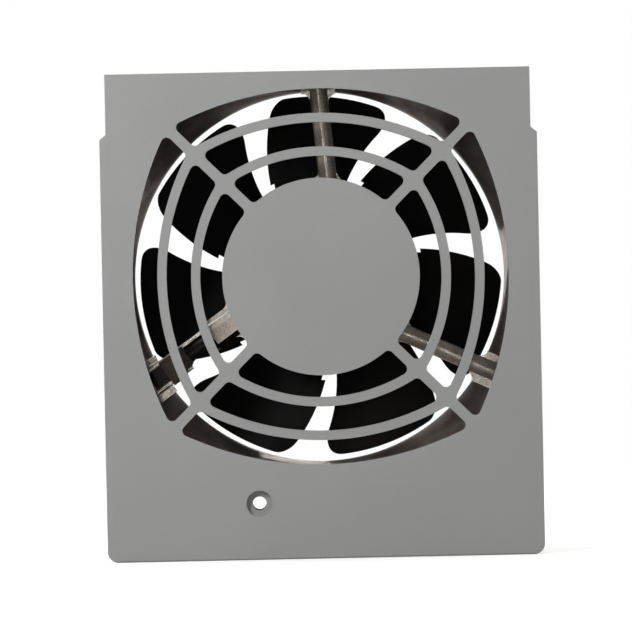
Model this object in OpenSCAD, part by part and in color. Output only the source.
// Panel-mounted compact axial fan: a moulded grille plate with a die-cast
// 119 mm fan fixed behind it. Front face looks along -Y, +Z is up, and the
// origin is on the fan axis in the rear face of the rear flange.

/* [Grille plate] */
// Full width of the plate over its side walls
plate_w = 132.6; // [130:0.1:140]
// Height of the plate's upper edge above the fan axis
plate_top = 62.4; // [61:0.1:70]
// Distance of the plate's lower edge below the fan axis
plate_bottom = 85.5; // [80:0.1:100]
// Width of the upper tongue, between the side walls
tongue_w = 128.8; // [124:0.1:129.6]
// Height above the fan axis where the side walls end
wall_top = 42.6; // [36:0.1:50]
// Thickness of the plate and of the grille bars
plate_t = 3.0; // [2.5:0.1:3.6]
// Depth of the side walls measured from the front face
skirt_d = 10.0; // [8:0.5:14]
// Radius of the two lower corners
corner_r = 3.2; // [2.4:0.1:5]

/* [Grille pattern] */
// Radius of the closed disc in the middle
disc_r = 29.95; // [29.5:0.05:31]
// Width of the four diagonal spokes
spoke_w = 3.2; // [2.6:0.1:4]
// Radius in the corners of every opening
cell_r = 1.75; // [1:0.05:2]

/* [Cover screw] */
// Sideways position of the cover screw from the fan axis
cover_screw_x = -20.0; // [-40:0.5:40]
// Distance of the cover screw below the fan axis
cover_screw_drop = 68.5; // [67:0.5:74]
// Diameter of the through hole for an M4 screw
cover_hole_d = 4.2; // [4.1:0.1:4.6]
// Diameter of the recess for the screw head
cover_recess_d = 7.9; // [7.4:0.1:9]
// Depth of the recess
cover_recess_h = 1.5; // [1:0.1:1.8]

/* [Fan frame] */
// Side length of the square frame
frame_w = 119; // [119:0.1:120]
// Depth of the frame over both flanges
frame_d = 38; // [38:0.1:39]
// Hole spacing of the square flange pattern
hole_pitch = 104.8; // [104.8:0.1:105]
// Diameter of the flange holes
flange_hole_d = 4.5; // [4.4:0.1:4.6]
// Thickness of each flange
flange_t = 3.8; // [3.4:0.1:4]
// Radius of the air tunnel around the blade tips
throat_r = 57.6; // [56.9:0.05:57.7]

/* [Struts] */
// Width of the two plain struts
strut_w = 5.45; // [4.6:0.05:6]
// Sideways offset of each strut from the fan axis
strut_off = 5.6; // [5:0.1:6]
// Direction of the first strut, anticlockwise from the right
strut_a0 = 95.3; // [94:0.1:97]

/* [Impeller] */
// Radius over the blade tips
tip_r = 56.05; // [55.4:0.05:56.2]
// Radius of the rotor cup
cup_r = 30.0; // [29.9:0.05:30.2]
// Thickness of the sheet-metal blades
blade_t = 0.9; // [0.7:0.1:1.2]
// Pitch angle of the blades at mid chord
blade_pitch = 30; // [27:1:32]
// Radius of curvature of the blades
blade_camber_r = 85; // [80:1:100]

/* [Motor] */
// Air gap between stator and rotor
air_gap = 0.3; // [0.25:0.05:0.4]
// Length of the lamination stacks
stack_l = 12; // [10:0.5:12]
// Wire coils' width on each side of the pole body
coil_w = 2.6; // [2:0.1:3]

/* [Hidden] */
$fn = 96;
overlap = 0.02;         // by which joined shapes run into each other

// All pieces are built in a local frame: x right, y up, and z along the fan
// axis from the rear flange (0) towards the front.
front_z = frame_d + 7.5;
panel_z = front_z - plate_t;
half_pitch = hole_pitch / 2;
fixing_r = 1.95;        // fan's fixing screws and their holes in the plate

// Motor base
base_r = 30.0;
base_z = 33.2;          // inner face
base_top = 37.0;        // outer face
label_z = base_top - 0.4;
label_r = 24.0;

// Bearings 4 x 13 x 5, their tube and the shaft
shaft_r = 2.0;
bearing_r = 6.5;
bearing_w = 5.0;
rear_bearing_z = 8.0;
front_bearing_z = 30.0;
tube_r = 8.5;
tube_top = 36;

// Rotor cup and lamination stacks
cup_z = 3.0;            // rear face of the rotor cup
cup_top = 28.0;
cup_wall = 1.2;
core_out = cup_r - cup_wall;
core_in = 25.3;
stator_r = core_in - air_gap;
stack_z = 10.5;
stack_top = stack_z + stack_l;

// Channel strut, seen with the strut pointing along x
channel_a = strut_a0 + 120;
channel_lo = -8.6;      // outer sides
channel_hi = -0.4;
channel_wall = 1.2;
channel_in_lo = channel_lo + channel_wall;
channel_in_hi = channel_hi - channel_wall;
channel_floor = 31.3;
terminal_x = 47.6;      // inner end of the terminal block's body
wire_ys = [-5.6, -3.2];
wire_z = 32.2;
wire_x = 19;            // where the wires turn down to the board

// Colours used by several pieces
screw_zinc = [0.75, 0.75, 0.72];
bearing_steel = [0.78, 0.78, 0.8];
insulator_cream = [0.9, 0.88, 0.8];

// ---------- helpers ----------

module upright() rotate([90, 0, 0]) children();
module spin(count) for (k = [0:count - 1]) rotate(360 / count * k) children();
module at_corners()
    for (x = [-half_pitch, half_pitch], y = [-half_pitch, half_pitch])
        translate([x, y, 0]) children();

// Points of an arc
function arc(centre, r, a0, a1, steps) =
    [for (i = [0:steps]) let (a = a0 + (a1 - a0) * i / steps) centre + r * [cos(a), sin(a)]];
function reversed(pts) = [for (i = [len(pts) - 1:-1:0]) pts[i]];
function polar(r, a) = r * [cos(a), sin(a)];
function direction(p) = atan2(p[1], p[0]);

// Rectangle from lo to hi with its own radius in each corner,
// given as [lower right, upper right, upper left, lower left]
function rounded_rect(lo, hi, r) = concat(
    r[0] > 0 ? arc([hi[0] - r[0], lo[1] + r[0]], r[0], -90, 0, 8) : [[hi[0], lo[1]]],
    r[1] > 0 ? arc([hi[0] - r[1], hi[1] - r[1]], r[1], 0, 90, 8) : [hi],
    r[2] > 0 ? arc([lo[0] + r[2], hi[1] - r[2]], r[2], 90, 180, 8) : [[lo[0], hi[1]]],
    r[3] > 0 ? arc([lo[0] + r[3], lo[1] + r[3]], r[3], 180, 270, 8) : [lo]);

module box(lo, hi) translate(lo) cube(hi - lo);
module rod(r, z0, z1) translate([0, 0, z0]) cylinder(r = r, h = z1 - z0);
module cone(r0, r1, z0, z1) translate([0, 0, z0]) cylinder(r1 = r0, r2 = r1, h = z1 - z0);
module ring(r_in, r_out, z0, z1) difference() {
    rod(r_out, z0, z1);
    rod(r_in, z0 - 1, z1 + 1);
}
module prism(pts, z0, z1) translate([0, 0, z0]) linear_extrude(z1 - z0) polygon(pts);
// Extrudes a cross-section [y, z] from x0 to x1
module along(x0, x1, pts) translate([x0, 0, 0]) rotate([90, 0, 90])
    linear_extrude(x1 - x0) polygon(pts);
// Rounded square whose sides are arcs centred past the fan axis;
// their radius grows by flare from z0 to z1
module bowed(shift, r, z0, z1, flare = 0)
    intersection_for (p = [[-shift, 0], [shift, 0], [0, -shift], [0, shift]])
        translate([p[0], p[1], z0]) cylinder(r1 = r, r2 = r + flare, h = z1 - z0, $fn = 180);
// Both supply wires, or the holes around them, along the channel strut
module wire_run(r, x, length) for (y = wire_ys)
    translate([x, y, wire_z]) rotate([0, 90, 0]) cylinder(r = r, h = length, $fn = 32);

// ---------- grille plate ----------

// Three nested openings: [inner arc shift, inner arc radius,
//                         outer arc shift, outer arc radius]
// Each side of a ring is an arc whose centre lies past the fan axis.
cells = [[0, disc_r, 13.7, 50.3],
         [14.1, 53.5, 27.8, 74.6],
         [28.6, 78.2, 40.9, 97.9]];
skirt_z = front_z - skirt_d;
wall_t = (plate_w - tongue_w) / 2;
wall_taper = 1.5;       // height over which the outline narrows to the tongue
collar_shift = cells[2][2];
collar_out = 99.9;
collar_in = 98.3;
web_w = 1.5;
rib_w = 1.4;
rib_d = 3.5;
rib_xs = [-48, 0, 28, 48];
cross_rib_y = -66.2;

// Centre of the corner rounding between a diagonal spoke and an arc, in the
// spoke's frame: x along the spoke, y away from its centre line.
// side = -1 inside the arc, +1 outside it.
function spoke_corner(shift, r, side) =
    let (across = shift * sin(45), y = spoke_w / 2 + cell_r)
    [-across + sqrt(pow(r + side * cell_r, 2) - pow(y + across, 2)), y];
// From the spoke's frame to the frame of the opening on the right-hand side
function from_spoke(p) = [(p[0] + p[1]) * cos(45), (p[0] - p[1]) * cos(45)];
// Upper half of the right-hand opening
function half_cell(cell) =
    let (c_in = from_spoke(spoke_corner(cell[0], cell[1], 1)),
         c_out = from_spoke(spoke_corner(cell[2], cell[3], -1)),
         a_in = direction(c_in - [-cell[0], 0]),
         a_out = direction(c_out - [-cell[2], 0]))
    concat(
        arc([-cell[2], 0], cell[3], 0, a_out, 18),
        arc(c_out, cell_r, a_out + 8, 135 - 4, 6),
        arc(c_in, cell_r, 135 + 4, a_in + 180, 6),
        reversed(arc([-cell[0], 0], cell[1], 0, a_in, 14)));
function cell_pts(cell) = let (half = half_cell(cell))
    concat(half, [for (i = [len(half) - 2:-1:1]) [half[i][0], -half[i][1]]]);

function plate_outline() =
    let (w = plate_w / 2, tongue = tongue_w / 2, y = -plate_bottom + corner_r)
    concat(
        arc([w - corner_r, y], corner_r, -90, 0, 8),
        [[w, wall_top], [tongue, wall_top + wall_taper], [tongue, plate_top],
         [-tongue, plate_top], [-tongue, wall_top + wall_taper], [-w, wall_top]],
        arc([-w + corner_r, y], corner_r, 180, 270, 8));

module at_cover_screw() translate([cover_screw_x, -cover_screw_drop, 0]) children();
// Upright rib from the plate's lower edge to y_top
module rib(x, y_top)
    box([x - rib_w / 2, -plate_bottom + 1, panel_z - rib_d],
        [x + rib_w / 2, y_top, panel_z + overlap]);

module side_walls() difference() {
    prism(plate_outline(), skirt_z, panel_z + overlap);
    prism(rounded_rect([-tongue_w / 2, -plate_bottom + wall_t],
                       [tongue_w / 2, plate_top + 5], [1.3, 0, 0, 1.3]),
          skirt_z - 1, panel_z);
}
// Guides the air from the fan to the grille
module collar() difference() {
    bowed(collar_shift, collar_out, frame_d, panel_z + overlap);
    bowed(collar_shift, collar_in, frame_d - 1, panel_z);
}

module grille_plate() color([0.58, 0.585, 0.58]) upright() difference() {
    union() {
        prism(plate_outline(), panel_z, front_z);
        side_walls();
        collar();
        // bosses for the fan's fixing screws, and webs from them to the collar
        at_corners() rod(4.4, frame_d, panel_z + overlap);
        rotate(45) spin(4)
            box([65.2, -web_w / 2, frame_d + 1],
                [half_pitch * sqrt(2) - 2.6, web_w / 2, panel_z + overlap]);
        // pillar behind the cover screw
        at_cover_screw() rod(4.6, skirt_z, panel_z + overlap);
        // stiffening ribs in the lower field
        for (x = rib_xs) rib(x, -66.5);
        rib(cover_screw_x, -cover_screw_drop - 4);
        box([-tongue_w / 2 - overlap, cross_rib_y - rib_w / 2, panel_z - rib_d],
            [tongue_w / 2 + overlap, cross_rib_y + rib_w / 2, panel_z + overlap]);
    }
    for (cell = cells) spin(4) prism(cell_pts(cell), panel_z - 1, front_z + 1);
    at_corners() rod(fixing_r, frame_d - 1, frame_d + 5.3);
    at_cover_screw() rod(cover_hole_d / 2, skirt_z - 1, front_z + 1);
    at_cover_screw() rod(cover_recess_d / 2, front_z - cover_recess_h, front_z + 1);
}

// ---------- die-cast fan housing ----------

frame_shift = 42.4;     // of the bowed sides of the casting
frame_bow_r = 102.4;
flare_z = 17;           // where the throat starts to widen to the front
inlet_z = 8;            // where the rear inlet has narrowed to the throat
front_hole_r = flange_hole_d / 2 - 0.2;

module flare_cut() intersection() {
    cone(throat_r - 0.49, 67.3, flare_z, 39, $fn = 180);
    bowed(frame_shift, throat_r + 42.1, flare_z, 39, 0.9);
}
module inlet_cut() intersection() {
    cone(64.4, throat_r - 0.4, -1, inlet_z, $fn = 180);
    bowed(frame_shift, 100.5, -1, inlet_z);
}
// Outer envelope of the casting
module envelope() intersection() {
    union() {
        cylinder(r = 59.3, h = frame_d);
        intersection() {
            cone(58.0, 69.6, 11, 38, $fn = 180);
            bowed(frame_shift, frame_bow_r, 11, frame_d);
        }
        intersection() {
            cylinder(r1 = 66.4, r2 = 58.6, h = 9.5, $fn = 180);
            bowed(frame_shift, frame_bow_r, 0, 9.5);
        }
    }
    box([-frame_w / 2, -frame_w / 2, 0], [frame_w / 2, frame_w / 2, frame_d]);
}
module frame_shell() difference() {
    union() {
        envelope();
        for (z = [0, frame_d - flange_t])
            prism(rounded_rect([-frame_w / 2, -frame_w / 2], [frame_w / 2, frame_w / 2],
                               [6, 6, 6, 6]), z, z + flange_t);
        // pad with the cast arrows on the upper side
        box([-17, 54, 12.5], [17, 59.1, 25.5]);
    }
    rod(throat_r, -1, frame_d + 1, $fn = 180);
    flare_cut();
    inlet_cut();
    // flange holes: the front ones are closer to the fixing screws and centre the fan
    at_corners() rod(flange_hole_d / 2, -1, frame_d / 2 - 1);
    at_corners() translate([0, 0, frame_d / 2 - 2]) cylinder(r = front_hole_r, h = frame_d);
}

// Struts are drawn pointing along x, then turned into place
strut_x0 = 27.5;
strut_x1 = 66;
strut_z0 = 30.6;
strut_z1 = 36.9;
// Ridged cross-section of a plain strut, [across, height]
strut_profile = [[-strut_w / 2, strut_z0 + 0.6], [-strut_w / 2 + 0.6, strut_z0],
    [strut_w / 2 - 0.6, strut_z0], [strut_w / 2, strut_z0 + 0.6],
    [strut_w / 2, strut_z1 - 2.0], [strut_w / 2 - 0.35, strut_z1 - 1.45],
    [0.55, strut_z1 - 0.1], [0.1, strut_z1], [-0.4, strut_z1 - 0.06],
    [-1.1, strut_z1 - 0.35], [-1.75, strut_z1 - 0.85], [-2.25, strut_z1 - 1.5],
    [-strut_w / 2 + 0.1, strut_z1 - 2.2], [-strut_w / 2, strut_z1 - 2.4]];
// Pads that carry a plain strut
foot_r = 56.2;
foot_z = 29.2;
foot_half_w = 5.1;

// Fillet between a strut's side face at y and a circle around the fan axis.
// side = +1 or -1, the side of the strut; out = +1 outside the circle, -1 inside it
function fillet_pts(y, side, circle_r, fillet_r, out) =
    let (yc = y + side * fillet_r,
         reach = circle_r + out * fillet_r,
         xc = sqrt(reach * reach - yc * yc),
         a0 = side > 0 ? -90 : 90,
         a_raw = atan2(yc, xc) + (out > 0 ? 180 : 0),
         a1 = a_raw - a0 > 180 ? a_raw - 360 : (a_raw - a0 < -180 ? a_raw + 360 : a_raw),
         pts = arc([xc, yc], fillet_r, a0, a1, 8),
         depth = out > 0 ? 2.5 : 0.7)
    concat(pts, [pts[8] * (circle_r - out * depth) / circle_r,
        [sqrt(circle_r * circle_r - y * y) - out * depth, y - side],
        [pts[0][0], y - side]]);
module fillet(y, side, circle_r, fillet_r, out, z0, z1)
    prism(fillet_pts(y, side, circle_r, fillet_r, out), z0, z1);

module plain_strut() {
    translate([0, -strut_off, 0]) along(strut_x0, strut_x1, strut_profile);
    for (side = [-1, 1]) {
        y = -strut_off + side * (strut_w / 2 - 0.1);
        fillet(y, side, base_r, side > 0 ? 2.2 : 4.6, 1, strut_z0 + 0.8, strut_z1 - 2.2);
        // outer fillet, no wider than the pads beside the strut
        intersection() {
            fillet(y, side, foot_r + 0.4, 3.3, -1, strut_z0 - 0.2, strut_z1 - 3.5);
            box([50, -strut_off - foot_half_w, 0], [60, -strut_off + foot_half_w, 40]);
        }
    }
}
// Pad under the strut, and one on each side of it behind a groove
module plain_foot() {
    box([50, -strut_off - foot_half_w, 14], [68, -strut_off + foot_half_w, strut_z0 + 1.2]);
    for (y = [-foot_half_w, 3.2])
        box([50, -strut_off + y, 14], [68, -strut_off + y + 1.9, strut_z1 - 2.9]);
}

// Bridge over the wires next to the motor base: [y0, z0, y1, z1]
bridge_boxes = [[-9.7, 34.0, -7.1, 35.6],
                [-7.2, 34.0, -6.6, 34.8],
                [-6.7, 34.0, -2.1, 35.6],
                [-9.7, 30.0, -8.0, 34.2]];
// Strut that carries the supply wires
module channel_strut() {
    box([strut_x0, channel_lo, 30.0], [strut_x1, channel_hi, channel_floor]);
    // clockwise wall
    along(strut_x0, strut_x1, [[channel_lo, 30.4], [channel_in_lo, 30.4],
        [channel_in_lo, 36.0], [channel_lo + 1.0, 36.2], [channel_lo + 0.25, 36.2],
        [channel_lo, 35.9]]);
    // anticlockwise wall: full height near the rim, low further in
    along(terminal_x, strut_x1, [[channel_in_hi, 30.4], [channel_hi, 30.4],
        [channel_hi, 35.7], [channel_hi - 0.35, 36.2], [channel_hi - 0.9, 36.2],
        [channel_in_hi, 35.9]]);
    along(strut_x0, terminal_x + 0.1, [[channel_hi - 1.0, 30.4], [channel_hi, 30.4],
        [channel_hi, 32.0], [channel_hi - 1.0, 32.0]]);
    for (b = bridge_boxes) box([26, b[0], b[1]], [37.4, b[2], b[3]]);
    fillet(-9.65, -1, base_r, 2.6, 1, 30.4, 34.6);
    fillet(-0.5, 1, base_r, 2.6, 1, 30.4, 31.9);
}
// Notch in the anticlockwise side of the channel, just inside the terminal block
notch_pts = [[41.5, 1.5], [41.5, -0.75], [42.6, -1.05], [45.6, -2.3], [46.6, -2.15],
    [47.9, -1.3], [48.0, 1.5]];
module channel_notch(z0) prism(notch_pts, z0, 38);
module channel_foot() {
    for (y = [[-10.9, -9.0], [0.0, 2.1]]) box([50, y[0], 14], [70, y[1], 34.2]);
    box([50, -10.9, 14], [70, 2.1, 30.5]);
}

// Struts, cut to the outer shape of the casting
module struts() intersection() {
    envelope();
    union() {
        for (k = [0, 2]) rotate(strut_a0 + 120 * k) plain_strut();
        rotate(channel_a) difference() {
            channel_strut();
            channel_notch(29);
        }
    }
}
module feet() difference() {
    intersection() {
        envelope();
        union() {
            for (k = [0, 2]) rotate(strut_a0 + 120 * k) plain_foot();
            rotate(channel_a) channel_foot();
        }
    }
    rod(throat_r, -1, foot_z, $fn = 180);
    translate([0, 0, foot_z - 0.5]) cylinder(r = foot_r, h = frame_d, $fn = 180);
}
module motor_base() {
    difference() {
        rotate_extrude() polygon([[0, base_z], [27.7, base_z], [27.7, 29], [base_r, 29],
            [base_r, base_top - 1.2], [base_r - 0.35, base_top - 0.35],
            [base_r - 1.2, base_top], [0, base_top]]);
        // label recess
        rod(label_r + 0.2, label_z, label_z + 1);
        // seat of the bearing tube
        rod(tube_r, base_z - 1, tube_top);
    }
    // collar around the seat
    ring(tube_r, 11.2, 31.4, base_z + overlap);
}
// Raised arrow on the pad
module arrow(x, pts)
    translate([x, 59.0, 19]) rotate([-90, 0, 0]) linear_extrude(0.45) polygon(pts);

module fan_housing() color([0.66, 0.64, 0.61]) upright() difference() {
    union() {
        frame_shell();
        struts();
        feet();
        motor_base();
        // direction of the air, then direction of rotation
        arrow(-9, [[-1, 5], [1, 5], [1, -1], [2.8, -1], [0, -5], [-2.8, -1], [-1, -1]]);
        arrow(8, [[-6, 1], [-6, -1], [1, -1], [1, -2.8], [5, 0], [1, 2.8], [1, 1]]);
    }
    // way for the wires through the skirt of the motor base
    rotate(channel_a) box([20, channel_in_lo, channel_floor], [31, -1.4, base_z + overlap]);
    // socket opening in the rim for the supply plug
    rotate(channel_a)
        box([56, channel_in_lo, channel_floor], [74, channel_in_hi, frame_d - flange_t - 0.4]);
}

module bearing_tube() color([0.72, 0.72, 0.7]) upright() difference() {
    rod(tube_r, rear_bearing_z - 0.5, tube_top);
    rod(5.2, 0, 40);
    rod(bearing_r, 0, rear_bearing_z + bearing_w);
    rod(bearing_r, front_bearing_z - 1.5, front_bearing_z + 10.5);
}

module rating_label() color([0.82, 0.82, 0.8]) upright()
    rod(label_r, label_z, label_z + 0.15);

// ---------- fixings ----------

washer_t = 0.8;
washer_z = frame_d - flange_t - washer_t;
head_z = washer_z - 2.4;    // rear face of the screw head

module fan_screw() difference() {
    union() {
        rod(fixing_r, washer_z, washer_z + 9.6);
        rotate_extrude() polygon([[0, head_z], [2.2, head_z + 0.1], [3.2, head_z + 0.5],
            [3.75, head_z + 1.2], [3.9, head_z + 2.0], [3.9, washer_z], [0, washer_z]]);
    }
    // cross recess
    for (a = [0, 90]) rotate(a) box([-2.1, -0.45, head_z - 1], [2.1, 0.45, head_z + 1.5]);
}
module fan_fixing_screws() color(screw_zinc) upright() at_corners() rotate(20) fan_screw();
module fan_fixing_washers() color(screw_zinc) upright() at_corners() difference() {
    ring(2.05, 3.8, washer_z, washer_z + washer_t);
    // slit of the spring lock washer
    rotate(70) translate([2.9, 0, washer_z + washer_t / 2]) rotate([20, 0, 0])
        cube([3, 0.5, 3], center = true);
}

// ---------- ball bearings ----------

ball_r = 1.19;
ball_count = 6;
ball_path_r = 4.25;
shield_r = 5.45;

module ball_groove() translate([0, 0, bearing_w / 2])
    rotate_extrude() translate([ball_path_r, 0]) circle(r = ball_r + 0.02, $fn = 32);
module outer_ring(z0) color(bearing_steel) upright() translate([0, 0, z0]) difference() {
    cylinder(r = bearing_r, h = bearing_w);
    rod(5.15, -1, bearing_w + 1);
    // seats of the shields
    for (z = [-1, bearing_w - 0.4]) rod(shield_r, z, z + 1.4);
    ball_groove();
}
module inner_ring(z0) color(bearing_steel) upright() translate([0, 0, z0]) difference() {
    cylinder(r = 3.35, h = bearing_w);
    rod(shaft_r, -1, bearing_w + 1);
    ball_groove();
}
module balls(z0) color([0.85, 0.85, 0.87]) upright() spin(ball_count)
    translate([ball_path_r, 0, z0 + bearing_w / 2]) sphere(r = ball_r, $fn = 48);
module cage(z0) color([0.7, 0.55, 0.25]) upright() difference() {
    ring(3.85, 4.65, z0 + 1.0, z0 + bearing_w - 1.0);
    spin(ball_count) translate([3, 0, z0 + bearing_w / 2]) rotate([0, 90, 0])
        cylinder(r = ball_r + 0.05, h = 3, $fn = 48);
}
module shields(z0) color([0.7, 0.7, 0.72]) upright()
    for (z = [z0 + 0.1, z0 + bearing_w - 0.4]) ring(3.5, shield_r, z, z + 0.3);

module rear_bearing_outer_ring() outer_ring(rear_bearing_z);
module rear_bearing_inner_ring() inner_ring(rear_bearing_z);
module rear_bearing_balls() balls(rear_bearing_z);
module rear_bearing_cage() cage(rear_bearing_z);
module rear_bearing_shields() shields(rear_bearing_z);
module front_bearing_outer_ring() outer_ring(front_bearing_z);
module front_bearing_inner_ring() inner_ring(front_bearing_z);
module front_bearing_balls() balls(front_bearing_z);
module front_bearing_cage() cage(front_bearing_z);
module front_bearing_shields() shields(front_bearing_z);

// ---------- shaft and its small parts ----------

wave_steps = 60;
wave_count = 3;
wave_height = 0.58;     // above and below the mean height
wave_t = 0.3;
// Section of the wave washer: [radius, height]
wave_section = [[5.45, -wave_t / 2], [6.4, -wave_t / 2], [6.4, wave_t / 2], [5.45, wave_t / 2]];
function wave_pt(i, corner) = let (a = 360 * i / wave_steps)
    [corner[0] * cos(a), corner[0] * sin(a),
     front_bearing_z - 0.75 + wave_height * sin(wave_count * a) + corner[1]];
// Face between steps i and i + 1 that joins section corners a and b
function wave_quad(i, a, b) = let (j = (i + 1) % wave_steps)
    [4 * i + a, 4 * j + a, 4 * j + b, 4 * i + b];
// Wave washer that loads the front bearing's outer ring
module preload_spring() color([0.6, 0.6, 0.62]) upright() polyhedron(
    [for (i = [0:wave_steps - 1], corner = wave_section) wave_pt(i, corner)],
    [for (i = [0:wave_steps - 1], k = [0:3]) let (f = wave_quad(i, k, (k + 1) % 4))
        each [[f[0], f[2], f[1]], [f[0], f[3], f[2]]]]);

shaft_z0 = 2.2;
shaft_z1 = 35.6;
hub_top = 7.4;
clip_z0 = front_bearing_z + bearing_w;
clip_z1 = clip_z0 + 0.45;
clip_groove_r = 1.7;

module spacer_washer() color([0.7, 0.7, 0.7]) upright()
    ring(shaft_r, 3.2, hub_top, rear_bearing_z);
module circlip() color([0.35, 0.35, 0.37]) upright() difference() {
    ring(clip_groove_r, 3.1, clip_z0, clip_z1);
    box([-0.8, 0, 30], [0.8, 5, 40]);
}
module shaft() color([0.8, 0.8, 0.82]) upright() difference() {
    union() {
        rod(shaft_r, shaft_z0, shaft_z1);
        cone(1.6, shaft_r, shaft_z0 - 0.4, shaft_z0);
        cone(shaft_r, 1.75, shaft_z1, shaft_z1 + 0.25);
    }
    // groove of the circlip
    difference() {
        rod(3, clip_z0, clip_z1);
        rod(clip_groove_r, 30, 40);
    }
}

// ---------- rotor ----------

hub_r = 5.2;            // where the hub fills the cup's hole
cup_edge_r = 3.2;
bar_count = 28;
bar_path_r = 27.0;
cage_ring_t = 1.6;

// Drawn steel cup, closed at the rear
module rotor_cup() color([0.05, 0.05, 0.05]) upright() difference() {
    edge_centre = [cup_r - cup_edge_r, cup_z + cup_edge_r];
    rotate_extrude($fn = 128) polygon(concat(
        [[hub_r, cup_z + 1.4], [hub_r, cup_z]],
        arc(edge_centre, cup_edge_r, -90, 0, 8),
        [[cup_r, cup_top], [core_out, cup_top]],
        reversed(arc(edge_centre, cup_edge_r - cup_wall, -90, 0, 6)),
        [[16.5, cup_z + cup_wall], [15.3, cup_z + 2.0], [9.5, cup_z + 2.0], [8.5, cup_z + 1.4]]));
    // shallow ring pressed into the closed face
    rotate_extrude()
        polygon([[10, cup_z - 1], [15, cup_z - 1], [14.4, cup_z + 0.6], [10.6, cup_z + 0.6]]);
    spin(6) translate([21, 0, cup_z - 1]) cylinder(r = 1.6, h = 4, $fn = 32);
}
module rotor_hub() color([0.6, 0.6, 0.58]) upright() difference() {
    rotate_extrude() polygon([[0, 2.4], [3.4, 2.4], [3.8, 2.7], [hub_r, 2.7],
        [hub_r, cup_z + 1.4], [6.6, cup_z + 1.4], [6.6, cup_z + 2.2], [4.4, 6.4],
        [4.0, hub_top], [0, hub_top]]);
    cylinder(r = shaft_r, h = 12);
}
// Bars of the cage, longer than the stack by extra at each end
module bars(extra) spin(bar_count) translate([bar_path_r, 0, stack_z - extra])
    cylinder(r = 0.9, h = stack_l + 2 * extra, $fn = 20);
module rotor_core() color([0.4, 0.4, 0.42]) upright() difference() {
    ring(core_in, core_out, stack_z, stack_top);
    bars(1);
}
module rotor_cage() color([0.75, 0.75, 0.74]) upright() {
    for (z = [stack_z - cage_ring_t, stack_top]) ring(25.7, 28.3, z, z + cage_ring_t);
    bars(0.2);
}

// ---------- blades ----------

// Edges of the flat blank: circles seen along the fan axis
lead_centre = [-44.53, -31.69];
lead_r = 49.2;
trail_centre = [-52.72, -17.43];
trail_r = 55.6;
blade_step = 360 / 7;
root_r = 28.5;          // inner end of the blank, inside the rotor cup
foot_top_r = cup_r + 1.95;  // end of the narrower foot above the rotor cup
blade_mid_z = 12.6;
blank_steps = 24;

// Angle at which an edge circle crosses the radius r about the fan axis
function crossing_a(centre, edge_r, r) = let (dist = norm(centre))
    direction(centre) + 360 + acos((r * r + dist * dist - edge_r * edge_r) / (2 * r * dist));
// Corner rounding at the tip, as an angle: depth along the radius, width along the arc
function setback(r, depth, width) = r > tip_r - depth
    ? width * (1 - sqrt(max(0, 1 - pow((r - tip_r + depth) / depth, 2)))) / r * 180 / PI : 0;
function lead_a(r) = crossing_a(lead_centre, lead_r, r) + setback(r, 8.5, 8.0);
function trail_a(r) = crossing_a(trail_centre, trail_r, r) + blade_step
    - setback(r, 4.6, 3.6) - (r < foot_top_r ? 2.2 : 0);
function trail_pt(r) = polar(r, trail_a(r));
// Radii of the outline's points, closer together towards the tip
function station_r(i) = root_r + (tip_r - root_r) * (1 - pow(1 - i / blank_steps, 1.8));
function blank_pts() = let (a0 = lead_a(tip_r), a1 = trail_a(tip_r)) concat(
    [for (i = [0:blank_steps]) let (r = station_r(i)) polar(r, lead_a(r))],
    [for (i = [1:11]) polar(tip_r, a0 + (a1 - a0) * i / 12)],
    [for (i = [blank_steps:-1:0]) let (r = station_r(i)) if (r > foot_top_r + 0.01) trail_pt(r)],
    [for (r = [foot_top_r + 0.01, foot_top_r - 0.01, root_r]) trail_pt(r)]);
blade_mid_a = (lead_a(44) + trail_a(44)) / 2;

// Curved sheet: part of a tube whose axis runs along the blade's radius
module sheet() rotate(blade_mid_a)
    translate([20, -blade_camber_r * sin(blade_pitch),
               blade_mid_z + blade_camber_r * cos(blade_pitch)])
        rotate([0, 90, 0]) difference() {
            cylinder(r = blade_camber_r + blade_t / 2, h = 40, $fn = 180);
            rod(blade_camber_r - blade_t / 2, -1, 41, $fn = 180);
        }
module blade(k) color([0.03, 0.03, 0.03]) upright() rotate(blade_step * (k - 1)) difference() {
    intersection() {
        sheet();
        prism(blank_pts(), 0, 33);
    }
    rod(cup_r, -1, 39, $fn = 128);
}

// ---------- stator ----------

pole_w = 10;
yoke_r = 13.2;
insulation_t = 0.75;
coil_x0 = 13.9;
coil_x1 = 18.9;
former_x1 = 19.5;
board_z = 28.4;
board_top = 29.4;

// Part of a ring between the angles a0 and a1
module sector(r_in, r_out, a0, a1, z0, z1) intersection() {
    ring(r_in, r_out, z0, z1);
    prism(concat([[0, 0]], arc([0, 0], r_out * 1.3, a0, a1, 6)), z0 - 1, z1 + 1);
}
module stator_core() color([0.45, 0.45, 0.47]) upright() difference() {
    union() {
        ring(tube_r, yoke_r, stack_z, stack_top);
        spin(4) {
            box([12, -pole_w / 2, stack_z], [21.6, pole_w / 2, stack_top]);
            sector(21, stator_r, -36, 36, stack_z, stack_top);
        }
    }
    // slots for the shading rings
    spin(4) sector(21.9, stator_r - 0.9, 24.6, 28.6, stack_z - 1, stack_top + 1);
}
module shading_rings() color([0.75, 0.42, 0.25]) upright() spin(4) difference() {
    sector(22.0, stator_r - 1.0, 24.9, 40.5, stack_z - 1.5, stack_top + 1.5);
    sector(20, 27, 28.3, 37.0, stack_z - 0.05, stack_top + 0.05);
}
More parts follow.
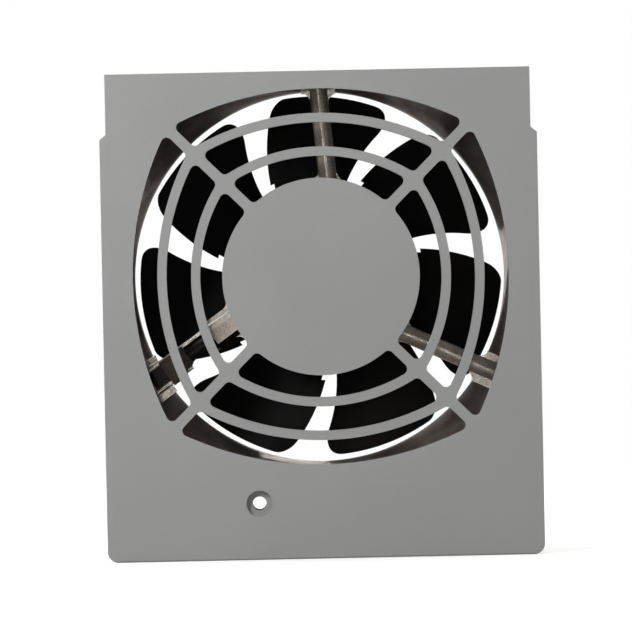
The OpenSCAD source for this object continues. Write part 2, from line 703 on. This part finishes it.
module stator_coils() color([0.62, 0.3, 0.12]) upright() spin(4) {
    y_in = pole_w / 2 + insulation_t;
    y_out = y_in + coil_w;
    z0 = stack_z - insulation_t;
    z1 = stack_top + insulation_t;
    difference() {
        along(coil_x0, coil_x1,
              rounded_rect([-y_out, z0 - 2.9], [y_out, z1 + 2.9], [2.4, 2.4, 2.4, 2.4]));
        along(coil_x0 - 1, coil_x1 + 1, rounded_rect([-y_in, z0], [y_in, z1], [0, 0, 0, 0]));
    }
}

// Front half of a sleeve around a pole, side and top being its thicknesses
module sleeve(x0, x1, side, top) {
    mid_z = stack_z + stack_l / 2;
    difference() {
        box([x0, -pole_w / 2 - side, mid_z + 0.1], [x1, pole_w / 2 + side, stack_top + top]);
        box([12, -pole_w / 2, mid_z - 1], [22, pole_w / 2, stack_top]);
    }
}
// Front half of the insulating former
module former() {
    y = pole_w / 2 + insulation_t;
    ring(tube_r + 0.3, yoke_r, stack_top, stack_top + insulation_t);
    spin(4) {
        box([12, -y, stack_top], [14, y, stack_top + insulation_t]);
        sleeve(yoke_r, former_x1, insulation_t, insulation_t);
        // walls at both ends of the coil
        sleeve(yoke_r, coil_x0, 1.6, insulation_t + 3.2);
        sleeve(coil_x1, former_x1, 1.6, insulation_t + 3.2);
    }
}
module front_insulator() color(insulator_cream) upright() {
    former();
    // pegs under the connection board
    rotate(45) spin(4) translate([11.6, 0, 0])
        rod(1.3, stack_top + insulation_t - overlap, board_z, $fn = 32);
}
module rear_insulator() color(insulator_cream) upright()
    translate([0, 0, stack_z + stack_top]) mirror([0, 0, 1]) former();
module connection_board() color([0.2, 0.42, 0.25]) upright() difference() {
    ring(9.4, 22.5, board_z, board_top);
    rotate(channel_a) for (y = wire_ys) translate([wire_x, y, 0]) rod(0.5, 20, 40, $fn = 24);
}
wire_r = 0.75;
module lead_wires() color([0.1, 0.1, 0.12]) upright() rotate(channel_a) {
    wire_run(wire_r, wire_x, 28.6);
    for (y = wire_ys) translate([wire_x, y, 0]) {
        rod(wire_r, board_top, wire_z, $fn = 32);
        translate([0, 0, wire_z]) sphere(r = wire_r, $fn = 32);
        // bare end in the board
        rod(0.5, board_z - 0.4, board_top + 0.2, $fn = 24);
    }
}

// ---------- terminal end of the channel strut ----------

pin_ys = [-5.8, -3.2];
cap_lo = channel_lo + 0.4;
cap_hi = channel_hi + 0.7;
cap_z = 36.2;

// Flat pins, or their slots when made larger by gap
module pins(x1, gap) for (y = pin_ys)
    box([51, y - 1.0 - gap, 32.3 - gap], [x1, y + 1.0 + gap, 32.8 + gap]);
module terminal_block() color([0.09, 0.075, 0.07]) upright() rotate(channel_a) difference() {
    union() {
        box([terminal_x, channel_in_lo, channel_floor], [55.4, channel_in_hi, cap_z]);
        along(47.0, 55.6, [[cap_lo, cap_z], [cap_hi, cap_z], [cap_hi, 36.7],
            [cap_hi - 0.4, 37.1], [cap_lo + 0.4, 37.1], [cap_lo, 36.7]]);
        // shroud around the pins
        difference() {
            box([55.3, channel_lo + 1.25, channel_floor], [60.8, channel_hi - 1.25, 33.7]);
            box([55.9, channel_lo + 1.7, channel_floor + 0.45], [62, channel_hi - 1.7, 33.25]);
        }
    }
    // clipped corner over the notch of the channel
    channel_notch(30);
    prism([[46.5, -1.3], [49.4, -1.3], [50.7, 0.4], [50.7, 1], [46.5, 1]], cap_z - 0.05, 38);
    // wire entries and the slots of the two flat pins
    wire_run(0.76, 46, 4);
    pins(60, 0.02);
}
module terminal_pins() color([0.8, 0.78, 0.7]) upright() rotate(channel_a) pins(60.5, 0);
module cable_cover() color([0.03, 0.03, 0.03]) upright() rotate(channel_a) difference() {
    union() {
        along(37.6, 46.9, concat([[channel_lo + 1.25, 33.2], [channel_hi - 0.3, 33.2]],
            arc([-4.3, 31.3], 4.6, 42, 132, 10)));
        along(30.15, 37.7, concat([[-3.4, 32.2], [channel_hi, 32.2]],
            arc([-2.0, 32.55], 1.3, 15, 150, 8)));
    }
    // room for the wires and for the low wall of the channel
    wire_run(0.8, 20, 30);
    box([20, -8, 30], [50, channel_hi - 0.95, 33.0]);
    channel_notch(30);
}

grille_plate();
fan_housing();
bearing_tube();
fan_fixing_screws();
fan_fixing_washers();
rear_bearing_outer_ring();
rear_bearing_inner_ring();
rear_bearing_balls();
rear_bearing_cage();
rear_bearing_shields();
front_bearing_outer_ring();
front_bearing_inner_ring();
front_bearing_balls();
front_bearing_cage();
front_bearing_shields();
preload_spring();
spacer_washer();
circlip();
shaft();
rotor_cup();
rotor_hub();
rotor_core();
rotor_cage();
blade(1);  // blade_1
blade(2);  // blade_2
blade(3);  // blade_3
blade(4);  // blade_4
blade(5);  // blade_5
blade(6);  // blade_6
blade(7);  // blade_7
stator_core();
stator_coils();
shading_rings();
rear_insulator();
front_insulator();
connection_board();
lead_wires();
terminal_block();
terminal_pins();
cable_cover();
rating_label();
